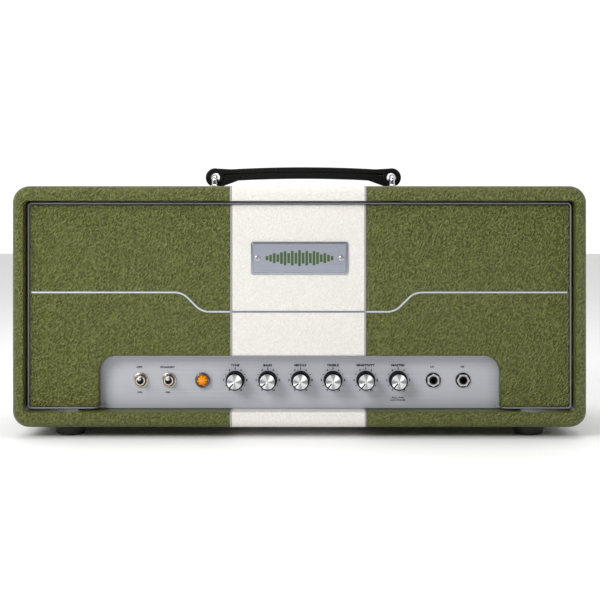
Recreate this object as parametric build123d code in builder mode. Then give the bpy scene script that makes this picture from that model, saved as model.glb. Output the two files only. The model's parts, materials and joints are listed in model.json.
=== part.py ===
"""Valve guitar amplifier head: vinyl covered plywood cabinet, recessed front board with an arched
window, folded chassis with its controls, valves and transformers, strap handle and rubber feet.

Frame: millimetres, +Z up, +X to the right seen from the front, front face towards -Y.
Origin: centre of the footprint, on the plane the rubber feet stand on.
"""
from build123d import *
import math
import os

os.makedirs("parts", exist_ok=True)

# ---------------------------------------------------------------- driving dimensions
W, H, D = 690.0, 290.0, 240.0        # cabinet over its vinyl: width, height, depth
FOOT_H = 13.0                        # rubber feet
CORNER_R = 20.0                      # corners seen from the front
EDGE_R = 10.0                        # roundover of the front and rear edges
SKIN = 0.8                           # vinyl thickness
WALL_X, WALL_Z, FLOOR_T = 14.2, 18.0, 19.0   # side walls, top and bottom, over the vinyl
LIP_R = 1.9                          # roundover at the edge of the opening
Z0, Z1 = FOOT_H, FOOT_H + H          # cabinet underside and top
YF, YR = -D / 2, D / 2               # front and rear planes
OX = W / 2 - WALL_X                  # half width of the opening
OZ0, OZ1 = Z0 + FLOOR_T, Z1 - WALL_Z  # floor and ceiling of the opening

BAND_C, BAND_X = -1.5, 80.8          # middle of the band, and its piping each side of that
PIPE_W = 2.5                         # piping width
PROUD = 0.5                          # piping stands this far proud

FB_Y = YF + 12.0                     # face of the front board's vinyl
FB_T = 12.0                          # front board plywood
FB_X, FB_Z0, FB_Z1 = 326.0, 36.4, 281.1
ARCH_X, ARCH_Z, ARCH_R = 242.0, 98.1, 20.0
BEAD_R, BEAD_X, BEAD_Z0, BEAD_Z1 = 1.1, 327.2, 35.2, 282.3
LINE_HI, LINE_LO, LINE_MID, LINE_W = 174.8, 151.5, 128.2, 2.0

BADGE_W, BADGE_H, BADGE_T, BADGE_Z = 117.4, 39.6, 3.0, 216.2
BADGE_HOLE_X = 50.7

PANEL_Y = YF + 30.0                  # face of the aluminium control panel
PANEL_T = 1.8
PANEL_X, PANEL_Z0, PANEL_Z1 = 262.0, 32.6, 103.0
CTRL_Z = 66.8                        # centre line of the controls
SWITCHES = {"power": -193.4, "standby": -159.1}
LAMP_X = -118.3
# name: (position across the panel, pointer angle clockwise from straight up)
KNOBS = {
    "tone": (-78.5, -141.0),
    "bass": (-38.8, -129.0),
    "middle": (1.0, -129.0),
    "treble": (40.7, -138.0),
    "sensitivity": (80.5, -145.0),
    "master": (120.2, -140.0),
}
INPUTS = (162.9, 199.2)
INPUT_Z = CTRL_Z

CH_X, CH_Y0, CH_Y1, CH_Z0, CH_Z1, CH_T = 270.0, PANEL_Y + PANEL_T, 88.0, OZ0 + 0.05, 98.0, 1.6
REAR_JACKS = (-20.0, 20.0, 80.0, 120.0, 160.0)
REAR_Z = 65.0
FUSES = (-135.0, -95.0)
INLET_X = -195.0

RB_Y0, RB_T = 103.0, 9.5             # rear board plywood
RB_X, RB_Z0, RB_Z1 = 329.5, 110.0, 283.0
VENT_X, VENT_Z0, VENT_Z1 = 190.0, 205.0, 255.0

FOOT_X, FOOT_Y, FOOT_D = 280.5, 80.0, 38.0
HANDLE_X = 4.3                       # middle of the handle
STRAP_W = 28.0                       # handle width
LOOP_X, LOOP_RO, LOOP_RI = 112.8, 12.0, 6.1
LOOP_Z = Z1 + 0.3 + LOOP_RO          # loops lie just clear of the cabinet top
ROD_R, ROD_Z, ROD_Y = 3.4, Z1 + 12.6, 20.0

GAP = 0.05                           # between pieces that are fastened together


def py(y):
    """A sketch plane facing the front, at depth y. Extruding by d runs from y to y - d."""
    return Plane.XZ.offset(-y)


def block(hx, z0, z1, y0, y1, rc, re):
    """A box with its four long edges rounded by rc, and the edges of its ends by re."""
    with BuildPart() as b:
        with BuildSketch(py(y1)):
            with Locations((0, (z0 + z1) / 2)):
                RectangleRounded(2 * hx, z1 - z0, rc)
        extrude(amount=y1 - y0)
        fillet(b.faces().filter_by(Axis.Y).edges(), re)
    return b.part


def tube_block(grow, open_in, lip):
    """The cabinet as one hollow block, grown by grow, with its opening open_in smaller."""
    with BuildPart() as b:
        add(block(W / 2 + grow, Z0 - grow, Z1 + grow, YF - grow, YR + grow, CORNER_R + grow, EDGE_R + grow))
        with BuildSketch(py(YR + 5)):
            with Locations((0, (OZ0 + OZ1) / 2)):
                RectangleRounded(2 * (OX - open_in), OZ1 - OZ0 - 2 * open_in, 5.0 - open_in)
        extrude(amount=D + 10, mode=Mode.SUBTRACT)
        rims = [
            e
            for f in b.faces().filter_by(Axis.Y)
            for w in f.inner_wires()
            for e in w.edges()
        ]
        fillet(rims, lip)
    return b.part


def box(x0, x1, y0, y1, z0, z1, mode=Mode.ADD):
    with Locations(((x0 + x1) / 2, (y0 + y1) / 2, (z0 + z1) / 2)):
        Box(x1 - x0, y1 - y0, z1 - z0, mode=mode)


def rod(x, y, z, r, length, mode=Mode.ADD):
    """A round bar from y towards the front."""
    with BuildSketch(py(y)) as s:
        with Locations((x, z)):
            Circle(r)
    extrude(s.sketch, amount=length, mode=mode)


def post(x, y, z, r, height, mode=Mode.ADD):
    """A round bar from z upwards."""
    with BuildSketch(Plane.XY.offset(z)) as s:
        with Locations((x, y)):
            Circle(r)
    extrude(s.sketch, amount=height, mode=mode)


made = []


def keep(part, name):
    part.label = name
    export_step(part, f"parts/{name}.step")
    made.append(name)


# ---------------------------------------------------------------- cabinet
carcass = tube_block(-SKIN, -SKIN, LIP_R - SKIN)
BOLTS = [(sx * 252.0, y) for sx in (-1, 1) for y in (-55.0, 55.0)]
FEET = [(sx * FOOT_X, sy * FOOT_Y) for sx in (-1, 1) for sy in (-1, 1)]
LEGS = [(HANDLE_X + sx * LOOP_X, sy * ROD_Y) for sx in (-1, 1) for sy in (-1, 1)]

with BuildPart() as side_board_left:
    add(carcass)
    box(-W, -OX - SKIN, -D, D, 0, 2 * H, mode=Mode.INTERSECT)
keep(side_board_left.part, "side_board_left")

with BuildPart() as side_board_right:
    add(carcass)
    box(OX + SKIN, W, -D, D, 0, 2 * H, mode=Mode.INTERSECT)
keep(side_board_right.part, "side_board_right")

with BuildPart() as top_board:
    add(carcass)
    box(-OX - SKIN, OX + SKIN, -D, D, H / 2, 2 * H, mode=Mode.INTERSECT)
    for x, y in LEGS:
        post(x, y, 200, ROD_R + GAP, 150, mode=Mode.SUBTRACT)
keep(top_board.part, "top_board")

with BuildPart() as bottom_board:
    add(carcass)
    box(-OX - SKIN, OX + SKIN, -D, D, 0, H / 2, mode=Mode.INTERSECT)
    for x, y in BOLTS:
        post(x, y, 0, 3.0 + GAP, 60, mode=Mode.SUBTRACT)
    for x, y in FEET:
        post(x, y, 0, 2.0 + GAP, 26, mode=Mode.SUBTRACT)
keep(bottom_board.part, "bottom_board")

with BuildPart() as cabinet_cleats:
    for sx in (-1, 1):
        x0, x1 = sorted((sx * (OX - 0.1), sx * (OX - 15.0)))
        box(x0, x1, FB_Y + SKIN + FB_T + GAP, -84, OZ0 + 6, OZ1 - 6)
        box(x0, x1, 88.2, RB_Y0 - GAP, RB_Z0, OZ1 - 5.2)
    box(-OX + 5.2, OX - 5.2, 88.2, RB_Y0 - GAP, OZ1 - 14, OZ1 - 0.1)
    # pilot holes for the rear board's screws
    for x in (-318.0, 318.0):
        for z in (120.0, 272.0):
            rod(x, 120, z, 1.9 + GAP, 40, mode=Mode.SUBTRACT)
    for x in (-110.0, 110.0):
        rod(x, 120, 275.5, 1.9 + GAP, 40, mode=Mode.SUBTRACT)
keep(cabinet_cleats.part, "cabinet_cleats")

with BuildPart() as vinyl:
    add(tube_block(0, 0, LIP_R))
    add(carcass, mode=Mode.SUBTRACT)
    box(-OX - SKIN, OX + SKIN, PANEL_Y + 2, 88, OZ0, OZ1 + SKIN, mode=Mode.SUBTRACT)
    for x, y in LEGS:
        post(x, y, 200, ROD_R + GAP, 150, mode=Mode.SUBTRACT)
    for x, y in BOLTS:
        post(x, y, 0, 3.0 + GAP, 60, mode=Mode.SUBTRACT)
    for x, y in FEET:
        post(x, y, 0, 2.0 + GAP, 26, mode=Mode.SUBTRACT)

HALF = PIPE_W / 2 + GAP
with BuildPart() as cabinet_covering_green:
    add(vinyl.part)
    box(BAND_C - BAND_X - HALF, BAND_C + BAND_X + HALF, -D, D, 0, 2 * H, mode=Mode.SUBTRACT)
keep(cabinet_covering_green.part, "cabinet_covering_green")

with BuildPart() as cabinet_covering_cream:
    add(vinyl.part)
    box(BAND_C - BAND_X + HALF, BAND_C + BAND_X - HALF, -D, D, 0, 2 * H, mode=Mode.INTERSECT)
keep(cabinet_covering_cream.part, "cabinet_covering_cream")


def slabs(x, half):
    with BuildPart() as s:
        for sx in (-1, 1):
            box(BAND_C + sx * x - half, BAND_C + sx * x + half, -D, D, 0, 2 * H)
    return s.part


with BuildPart() as piping_ring:
    add(tube_block(PROUD, PROUD, LIP_R))
    add(slabs(BAND_X, PIPE_W / 2), mode=Mode.INTERSECT)
    add(carcass, mode=Mode.SUBTRACT)
    box(-OX, OX, PANEL_Y - 0.5, 104, OZ0 - 0.01, OZ1 + SKIN, mode=Mode.SUBTRACT)

# ---------------------------------------------------------------- front board


def front_outline(x, z0, z1, ax, az, ar, foot_r):
    """The front board's outline, with the arched window open at its lower edge."""
    with BuildSketch(py(0)) as s:
        with Locations((0, (z0 + z1) / 2)):
            RectangleRounded(2 * x, z1 - z0, 2.7 + (x - FB_X))
        with Locations((0, az - 100)):
            RectangleRounded(2 * ax, 200, ar, mode=Mode.SUBTRACT)
        corners = [v for v in s.vertices() if abs(v.Z - z0) < 0.01 and abs(abs(v.X) - ax) < 0.01]
        fillet(corners, foot_r)
    return s.sketch


def front_solid(grow, y0, y1, lip):
    outline = front_outline(
        FB_X + grow, FB_Z0 - grow, FB_Z1 + grow, ARCH_X - grow, ARCH_Z - grow, ARCH_R + grow * -1, 10.0 + grow
    )
    with BuildPart() as b:
        with BuildSketch(py(y1)):
            add(outline)
        extrude(amount=y1 - y0)
        fillet(b.faces().filter_by(Axis.Y).sort_by(Axis.Y)[0].edges(), lip)
    return b.part


ply_front = front_solid(-SKIN, FB_Y + SKIN, FB_Y + SKIN + FB_T, 1.7)
BADGE_HOLES = [(-BADGE_HOLE_X, BADGE_Z), (BADGE_HOLE_X, BADGE_Z)]

with BuildPart() as front_board:
    add(ply_front)
    for x, z in BADGE_HOLES:
        rod(x, FB_Y + 11, z, 1.6 + GAP, 20, mode=Mode.SUBTRACT)
keep(front_board.part, "front_board")


def trim_line(width, y0, y1):
    """The silver line: three lengths, each end let into the board up to the next trim."""
    stop = BAND_X + PIPE_W / 2 + 2 * GAP
    half_drop = (LINE_HI - LINE_LO) / 2
    with BuildPart() as b:
        with BuildSketch(py(y1)) as s:
            for sx in (-1, 1):
                with BuildLine() as path:
                    FilletPolyline(
                        (sx * (FB_X - 3), LINE_HI),
                        (BAND_C + sx * (LINE_MID + half_drop), LINE_HI),
                        (BAND_C + sx * (LINE_MID - half_drop), LINE_LO),
                        (BAND_C + sx * stop, LINE_LO),
                        radius=22.0,
                    )
                trace(path.line, line_width=width)
            with Locations((BAND_C, LINE_LO)):
                Rectangle(2 * (BAND_X - PIPE_W / 2 - 2 * GAP), width)
        extrude(amount=y1 - y0)
    return b.part


with BuildPart() as front_vinyl:
    add(front_solid(0, FB_Y, FB_Y + SKIN + FB_T, 2.5))
    add(ply_front, mode=Mode.SUBTRACT)
    add(trim_line(LINE_W + 0.2, FB_Y - 2, FB_Y + SKIN), mode=Mode.SUBTRACT)
    for x, z in BADGE_HOLES:
        rod(x, FB_Y + 11, z, 1.6 + GAP, 20, mode=Mode.SUBTRACT)

with BuildPart() as front_covering_green:
    add(front_vinyl.part)
    box(BAND_C - BAND_X - HALF, BAND_C + BAND_X + HALF, -D, D, 0, 2 * H, mode=Mode.SUBTRACT)
keep(front_covering_green.part, "front_covering_green")

with BuildPart() as front_covering_cream:
    add(front_vinyl.part)
    box(BAND_C - BAND_X + HALF, BAND_C + BAND_X - HALF, -D, D, 0, 2 * H, mode=Mode.INTERSECT)
keep(front_covering_cream.part, "front_covering_cream")

with BuildPart() as front_inlay_line:
    add(trim_line(LINE_W, FB_Y - PROUD, FB_Y + SKIN - 0.02))
keep(front_inlay_line.part, "front_inlay_line")

with BuildPart() as band_piping:
    add(piping_ring.part)
    for sx in (-1, 1):
        box(BAND_C + sx * BAND_X - PIPE_W / 2, BAND_C + sx * BAND_X + PIPE_W / 2, FB_Y - PROUD, FB_Y + SKIN - 0.02, ARCH_Z + 1.0, FB_Z1 - 1.0)
keep(band_piping.part, "band_piping")

with BuildPart() as front_edge_bead:
    yb = FB_Y + 1.0
    with BuildLine() as run:
        FilletPolyline(
            (-236.0, yb + 7.5, 36.6),
            (-249.0, yb, BEAD_Z0),
            (-BEAD_X, yb, BEAD_Z0),
            (-BEAD_X, yb, BEAD_Z1),
            (BEAD_X, yb, BEAD_Z1),
            (BEAD_X, yb, BEAD_Z0),
            (249.0, yb, BEAD_Z0),
            (236.0, yb + 7.5, 36.6),
            radius=[8.0, 4.0, 4.0, 4.0, 4.0, 8.0],
        )
    with BuildSketch(Plane(origin=run.line @ 0, z_dir=run.line % 0)):
        Circle(BEAD_R)
    sweep(path=run.line)
keep(front_edge_bead.part, "front_edge_bead")

# ---------------------------------------------------------------- badge
with BuildPart() as badge_plate:
    with BuildSketch(py(FB_Y - GAP)):
        with Locations((0, BADGE_Z)):
            RectangleRounded(BADGE_W, BADGE_H, 1.5)
        with Locations(*BADGE_HOLES):
            Circle(1.75, mode=Mode.SUBTRACT)
    extrude(amount=BADGE_T)
    outer = badge_plate.faces().filter_by(Axis.Y).sort_by(Axis.Y)[0].outer_wire().edges()
    chamfer(outer, 1.4)
keep(badge_plate.part, "badge_plate")

with BuildPart() as badge_screws:
    for x, z in BADGE_HOLES:
        face = FB_Y - GAP - BADGE_T - GAP
        rod(x, FB_Y + 10, z, 1.6, 10 - FB_Y + FB_Y + GAP + BADGE_T + 2 * GAP)
        with BuildSketch(Plane.XZ.offset(-face)):
            with Locations((x, z)):
                Circle(3.5)
        extrude(amount=1.9)
    rims = badge_screws.edges().filter_by(GeomType.CIRCLE).group_by(Axis.Y)[0]
    fillet(rims, 1.3)
    for x, z in BADGE_HOLES:
        box(x - 2.0, x + 2.0, FB_Y - 6, FB_Y - 4.2, z - 0.4, z + 0.4, mode=Mode.SUBTRACT)
        box(x - 0.4, x + 0.4, FB_Y - 6, FB_Y - 4.2, z - 2.0, z + 2.0, mode=Mode.SUBTRACT)
keep(badge_screws.part, "badge_screws")

# ---------------------------------------------------------------- chassis and its two plates
FRONT_HOLES = (
    [(x, CTRL_Z, 6.1) for x in SWITCHES.values()]
    + [(LAMP_X, CTRL_Z, 6.4)]
    + [(x, CTRL_Z, 4.8) for x, _ in KNOBS.values()]
    + [(x, INPUT_Z, 4.85) for x in INPUTS]
)
REAR_HOLES = [(x, REAR_Z, 4.85) for x in REAR_JACKS] + [(x, REAR_Z, 6.1) for x in FUSES]

# valves: (x, y, kind)
VALVES = [
    (-50.0, 36.0, "power"), (26.0, 36.0, "power"), (-122.0, 40.0, "rectifier"),
    (75.0, -50.0, "small"), (120.0, -50.0, "small"), (165.0, -50.0, "small"), (210.0, -50.0, "small"),
]
HOLE_R = {"power": 14.0, "rectifier": 14.0, "small": 10.5}
CANS = [(-150.0, -45.0), (-105.0, -45.0), (-60.0, -45.0)]

with BuildPart() as chassis:
    box(-CH_X, CH_X, CH_Y0, CH_Y1, CH_Z0, CH_Z1)
    fillet(chassis.edges().filter_by(Axis.X).group_by(Axis.Z)[-1], 3.0)
    box(-CH_X + CH_T, CH_X - CH_T, CH_Y0 + CH_T, CH_Y1 - CH_T, CH_Z0 - 1, CH_Z1 - CH_T, mode=Mode.SUBTRACT)
    for sx in (-1, 1):
        x0, x1 = sorted((sx * (CH_X - 0.5), sx * (CH_X - 30)))
        box(x0, x1, CH_Y0 + 0.5, CH_Y1 - 0.5, CH_Z0, CH_Z0 + CH_T)
    for x, z, r in FRONT_HOLES:
        rod(x, CH_Y0 + 5, z, r, 10, mode=Mode.SUBTRACT)
    for x, z, r in REAR_HOLES:
        rod(x, CH_Y1 + 5, z, r, 10, mode=Mode.SUBTRACT)
    box(INLET_X - 14.2, INLET_X + 14.2, CH_Y1 - 5, CH_Y1 + 5, REAR_Z - 10.7, REAR_Z + 10.7, mode=Mode.SUBTRACT)
    for x, y, kind in VALVES:
        post(x, y, CH_Z1 - 5, HOLE_R[kind] + 0.1, 10, mode=Mode.SUBTRACT)
    for x, y in BOLTS:
        post(x, y, 0, 3.0 + 2 * GAP, 60, mode=Mode.SUBTRACT)
keep(chassis.part, "chassis")

with BuildPart() as control_panel:
    with BuildSketch(py(PANEL_Y + PANEL_T - 0.02)):
        with Locations((0, (PANEL_Z0 + PANEL_Z1) / 2)):
            RectangleRounded(2 * PANEL_X, PANEL_Z1 - PANEL_Z0, 2.0)
        for x, z, r in FRONT_HOLES:
            with Locations((x, z)):
                Circle(r, mode=Mode.SUBTRACT)
    extrude(amount=PANEL_T - 0.02)
keep(control_panel.part, "control_panel")

with BuildPart() as rear_connector_plate:
    with BuildSketch(py(CH_Y1 + 1.52)):
        with Locations((0, (PANEL_Z0 + 96) / 2)):
            RectangleRounded(2 * PANEL_X, 96 - PANEL_Z0, 2.0)
        for x, z, r in REAR_HOLES:
            with Locations((x, z)):
                Circle(r, mode=Mode.SUBTRACT)
        with Locations((INLET_X, REAR_Z)):
            Rectangle(28.4, 21.4, mode=Mode.SUBTRACT)
    extrude(amount=1.5)
keep(rear_connector_plate.part, "rear_connector_plate")

# ---------------------------------------------------------------- potentiometers and knobs
KNOB_Y0 = PANEL_Y - 1.0              # knob base, just clear of the panel
KNOB_H = 18.6
KNOB_RB, KNOB_RT = 11.6, 10.5
CAP_R, CAP_T = 9.25, 1.0
SHAFT_R, BORE_R = 3.0, 3.06
SHAFT_Y1 = CH_Y0 + CH_T + 12.5       # rear end of the spindle
PULL = 4.0                           # travel of the master control's pull switch

with BuildPart() as pot_bodies:
    for name, (x, _) in KNOBS.items():
        yb = CH_Y0 + CH_T + GAP
        rod(x, yb + 12, CTRL_Z, 12.0, 12.0 - 0.0)
        rod(x, yb + 0.01, CTRL_Z, 4.7, yb - (PANEL_Y - 4.5))
        rod(x, SHAFT_Y1 + 0.3 if name != "master" else yb + 20, CTRL_Z, BORE_R, 60, mode=Mode.SUBTRACT)
    # the pull switch's housing behind the master control
    mx = KNOBS["master"][0]
    ys = CH_Y0 + CH_T + GAP + 12.0
    box(mx - 9, mx + 9, ys + 0.05, ys + 20, CTRL_Z - 9, CTRL_Z + 9)
    box(mx - 4.6, mx + 4.6, ys - 0.5, ys + 21, CTRL_Z - 4.6, CTRL_Z + 4.6, mode=Mode.SUBTRACT)
keep(pot_bodies.part, "pot_bodies")

with BuildPart() as master_pull_plunger:
    box(mx - 4.2, mx + 4.2, ys + 4.6, ys + 17, CTRL_Z - 4.2, CTRL_Z + 4.2)
    rod(mx, ys + 4.7, CTRL_Z, 1.5, 4.7 - 0.7)
keep(master_pull_plunger.part, "master_pull_plunger")

for name, (x, angle) in KNOBS.items():
    with BuildPart() as knob:
        with BuildSketch(py(KNOB_Y0)):
            with Locations((x, CTRL_Z)):
                Circle(KNOB_RB)
        with BuildSketch(py(KNOB_Y0 - KNOB_H)):
            with Locations((x, CTRL_Z)):
                Circle(KNOB_RT)
        loft()
        # seat for the cap, well over the fixing nut, and the spindle's hole
        rod(x, KNOB_Y0 - KNOB_H + CAP_T, CTRL_Z, CAP_R, 5, mode=Mode.SUBTRACT)
        rod(x, KNOB_Y0 + 1, CTRL_Z, 8.3, 5.2, mode=Mode.SUBTRACT)
        rod(x, KNOB_Y0 + 1, CTRL_Z, SHAFT_R + 0.02, 13.0, mode=Mode.SUBTRACT)
    with BuildPart() as spindle:
        y1 = SHAFT_Y1 if name != "master" else ys + 0.4
        rod(x, y1, CTRL_Z, SHAFT_R, y1 - (KNOB_Y0 - 11.8))
    both = Compound(children=[knob.part.solid(), spindle.part.solid()])
    keep(both, f"{name}_knob")
    a = math.radians(angle)
    with BuildPart() as cap:
        rod(x, KNOB_Y0 - KNOB_H + CAP_T - 0.02, CTRL_Z, CAP_R - 0.05, CAP_T + 0.28)
        fillet(cap.edges().filter_by(GeomType.CIRCLE).group_by(Axis.Y)[0], 0.3)
        with BuildSketch(py(KNOB_Y0 - KNOB_H + 0.1)):
            with Locations((x + 6.2 * math.sin(a), CTRL_Z + 6.2 * math.cos(a))):
                Rectangle(1.2, 5.4, rotation=-angle)
        extrude(amount=1.0, mode=Mode.SUBTRACT)
    keep(cap.part, f"{name}_knob_cap")

# ---------------------------------------------------------------- toggle switches
PIVOT_Y = PANEL_Y - 4.0
BUSH_Y = PANEL_Y - 8.0
THROW = 14.0


def ring_solid(x, z, profile):
    with BuildPart() as b:
        with BuildSketch(Plane.XY.offset(z)):
            with BuildLine():
                Polyline(*[(x + r, y) for r, y in profile], close=True)
            make_face()
        revolve(axis=Axis((x, 0, z), (0, 1, 0)), revolution_arc=360)
    return b.part


with BuildPart() as toggle_switch_bodies:
    for x in SWITCHES.values():
        yb = CH_Y0 + CH_T + GAP
        box(x - 8.5, x + 8.5, yb, yb + 24, CTRL_Z - 14, CTRL_Z + 14)
        add(ring_solid(x, CTRL_Z, [(0, BUSH_Y), (5.6, BUSH_Y), (6.0, BUSH_Y + 0.5), (6.0, yb + 0.5), (0, yb + 0.5)]))
    for x in SWITCHES.values():
        add(
            ring_solid(
                x, CTRL_Z,
                [(0, BUSH_Y - 1), (4.3, BUSH_Y - 1), (4.3, BUSH_Y), (3.75, BUSH_Y + 1.2), (3.75, yb + 10), (0, yb + 10)],
            ),
            mode=Mode.SUBTRACT,
        )
keep(toggle_switch_bodies.part, "toggle_switch_bodies")

for name, x in SWITCHES.items():
    with BuildPart() as lever:
        with BuildSketch(Plane.XY.offset(CTRL_Z)):
            with BuildLine():
                Polyline(
                    (x, PIVOT_Y + 8), (x + 1.3, PIVOT_Y + 8), (x + 1.3, PIVOT_Y + 2.6), (x + 3.45, PIVOT_Y + 0.9),
                    (x + 3.45, PIVOT_Y - 0.9), (x + 1.5, PIVOT_Y - 2.8), (x + 1.6, PIVOT_Y - 6), (x + 2.6, PIVOT_Y - 15.5),
                    (x + 2.2, PIVOT_Y - 17.4), (x + 1.0, PIVOT_Y - 18.2), (x, PIVOT_Y - 18.3), close=True,
                )
            make_face()
        revolve(axis=Axis((x, 0, CTRL_Z), (0, 1, 0)), revolution_arc=360)
    # thrown upwards at rest
    bat = lever.part.rotate(Axis((x, PIVOT_Y, CTRL_Z), (1, 0, 0)), -THROW)
    keep(bat, f"{name}_toggle_lever")

# ---------------------------------------------------------------- nuts and washers on the panels
with BuildPart() as panel_nuts:
    for x in SWITCHES.values():
        f = PANEL_Y - GAP
        add(ring_solid(x, CTRL_Z, [(6.05, f), (9.1, f), (9.1, f - 1.4), (8.7, f - 1.8), (7.6, f - 1.8), (7.45, f - 3.6), (7.0, f - 4.1), (6.05, f - 4.1)]))
    for x, _ in KNOBS.values():
        with BuildSketch(py(PANEL_Y - GAP)):
            with Locations((x, CTRL_Z)):
                RegularPolygon(6.35, 6, major_radius=False)
                Circle(4.75, mode=Mode.SUBTRACT)
        extrude(amount=2.2)
    for x, turn in zip(INPUTS, (30, 0)):
        with BuildSketch(py(PANEL_Y - GAP)):
            with Locations((x, INPUT_Z)):
                Circle(9.2)
                Circle(4.85, mode=Mode.SUBTRACT)
        extrude(amount=1.2)
        with BuildSketch(py(PANEL_Y - 2 * GAP - 1.2)):
            with Locations((x, INPUT_Z)):
                RegularPolygon(7.1, 6, major_radius=False, rotation=turn)
                Circle(4.85, mode=Mode.SUBTRACT)
        extrude(amount=2.4)
    for k, x in enumerate(REAR_JACKS):
        y = CH_Y1 + 1.52 + GAP
        with BuildSketch(py(y + 1.2)):
            with Locations((x, REAR_Z)):
                Circle(9.2)
                Circle(4.85, mode=Mode.SUBTRACT)
        extrude(amount=1.2)
        with BuildSketch(py(y + 3.65)):
            with Locations((x, REAR_Z)):
                RegularPolygon(6.35, 6, major_radius=False, rotation=13.0 * k)
                Circle(4.85, mode=Mode.SUBTRACT)
        extrude(amount=2.4)
keep(panel_nuts.part, "panel_nuts")

# ---------------------------------------------------------------- jack sockets
JACK_R = 3.25
with BuildPart() as jack_sockets:
    for x in INPUTS:
        yb = CH_Y0 + CH_T + GAP
        box(x - 10, x + 10, yb, yb + 26, INPUT_Z - 10, INPUT_Z + 10)
        rod(x, yb + 0.5, INPUT_Z, 4.75, yb + 0.5 - (PANEL_Y - 5.0))
        rod(x, yb + 22, INPUT_Z, JACK_R, 60, mode=Mode.SUBTRACT)
    for x in REAR_JACKS:
        yb = CH_Y1 - CH_T - GAP
        box(x - 10, x + 10, yb - 26, yb, REAR_Z - 10, REAR_Z + 10)
        rod(x, CH_Y1 + 1.52 + 4.8, REAR_Z, 4.75, CH_Y1 + 1.52 + 4.8 - yb + 0.5)
        rod(x, CH_Y1 + 20, REAR_Z, JACK_R, CH_Y1 + 20 - (yb - 22), mode=Mode.SUBTRACT)
keep(jack_sockets.part, "jack_sockets")
JACK_LEN = (CH_Y0 + CH_T + GAP + 22) - (PANEL_Y - 5.0)

# ---------------------------------------------------------------- pilot lamp
with BuildPart() as pilot_lamp_bezel:
    f = PANEL_Y
    add(
        ring_solid(
            LAMP_X, CTRL_Z,
            [(6.6, f - 5.6), (7.8, f - 5.9), (8.7, f - 5.2), (9.3, f - 1.2), (9.3, f - GAP), (6.3, f - GAP),
             (6.3, f + 26), (4.6, f + 26), (4.6, f - 0.5), (6.6, f - 1.4)],
        )
    )
keep(pilot_lamp_bezel.part, "pilot_lamp_bezel")

with BuildPart() as pilot_lamp_lens:
    f = PANEL_Y
    add(
        ring_solid(
            LAMP_X, CTRL_Z,
            [(0, f - 9.4), (2.6, f - 9.0), (4.6, f - 7.9), (5.8, f - 6.3), (6.45, f - 4.6), (6.45, f - 1.6), (0, f - 1.6)],
        )
    )
keep(pilot_lamp_lens.part, "pilot_lamp_lens")

# ---------------------------------------------------------------- mains inlet and fuse holders
with BuildPart() as mains_inlet:
    y = CH_Y1 + 1.52 + GAP
    with BuildSketch(py(y + 3.0)):
        with Locations((INLET_X, REAR_Z)):
            RectangleRounded(50, 28, 5.0)
        with Locations((INLET_X - 20, REAR_Z), (INLET_X + 20, REAR_Z)):
            Circle(1.7, mode=Mode.SUBTRACT)
    extrude(amount=3.0)
    box(INLET_X - 14, INLET_X + 14, y - 22, y + 0.5, REAR_Z - 10.5, REAR_Z + 10.5)
    with BuildSketch(py(y + 4)):
        with BuildLine():
            Polyline(
                (INLET_X - 12, REAR_Z + 8.2), (INLET_X + 12, REAR_Z + 8.2), (INLET_X + 12, REAR_Z - 4.2),
                (INLET_X + 8, REAR_Z - 8.2), (INLET_X - 8, REAR_Z - 8.2), (INLET_X - 12, REAR_Z - 4.2), close=True,
            )
        make_face()
    extrude(amount=20.0, mode=Mode.SUBTRACT)
keep(mains_inlet.part, "mains_inlet")

with BuildPart() as fuse_holders:
    for x in FUSES:
        y = CH_Y1 + 1.52 + GAP
        add(
            ring_solid(
                x, REAR_Z,
                [(0, y - 32), (6.0, y - 32), (6.0, y), (8.5, y), (8.5, y + 1.6), (6.9, y + 2.2), (6.6, y + 11.0), (5.8, y + 12.0), (0, y + 12.0)],
            )
        )
        box(x - 4.5, x + 4.5, y + 11.0, y + 13, REAR_Z - 0.7, REAR_Z + 0.7, mode=Mode.SUBTRACT)
keep(fuse_holders.part, "fuse_holders")

# ---------------------------------------------------------------- valves
def ring_z(x, y, profile):
    """Revolves (radius, z) points about the upright line through x, y."""
    with BuildPart() as b:
        with BuildSketch(Plane.XZ.offset(-y)):
            with BuildLine():
                Polyline(*[(x + r, z) for r, z in profile], close=True)
            make_face()
        revolve(axis=Axis((x, y, 0), (0, 0, 1)), revolution_arc=360)
    return b.part


GLASS = {
    # outer profile from the base upwards; the wall is 1.1 mm thick
    "power": ([(14.0, 18), (17.5, 24), (25.5, 46), (26.0, 60), (24.0, 78), (17.0, 96), (16.0, 112), (12.0, 120), (0, 124)], 16.0),
    "rectifier": ([(15.0, 18), (16.0, 22), (16.0, 76), (13.5, 84), (7.0, 88.5), (0, 90)], 16.0),
    "small": ([(10.9, 8), (10.9, 50), (8.5, 55), (3.0, 57), (0, 60)], 6.0),
}
with BuildPart() as valve_envelopes:
    for x, y, kind in VALVES:
        pts, _ = GLASS[kind]
        zb = CH_Z1
        inner = [(max(r - 1.1, 0.0), z - (1.3 if r < 12 and i > 2 else 0)) for i, (r, z) in enumerate(pts)]
        inner = [p for p in inner if p[0] > 0.01]
        top = (0, pts[-1][1] - 1.6)
        loop = [(r, z + zb) for r, z in pts] + [(0, top[1] + zb)] + [(r, z + zb) for r, z in reversed(inner)]
        add(ring_z(x, y, loop))
keep(valve_envelopes.part, "valve_envelopes")

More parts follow.
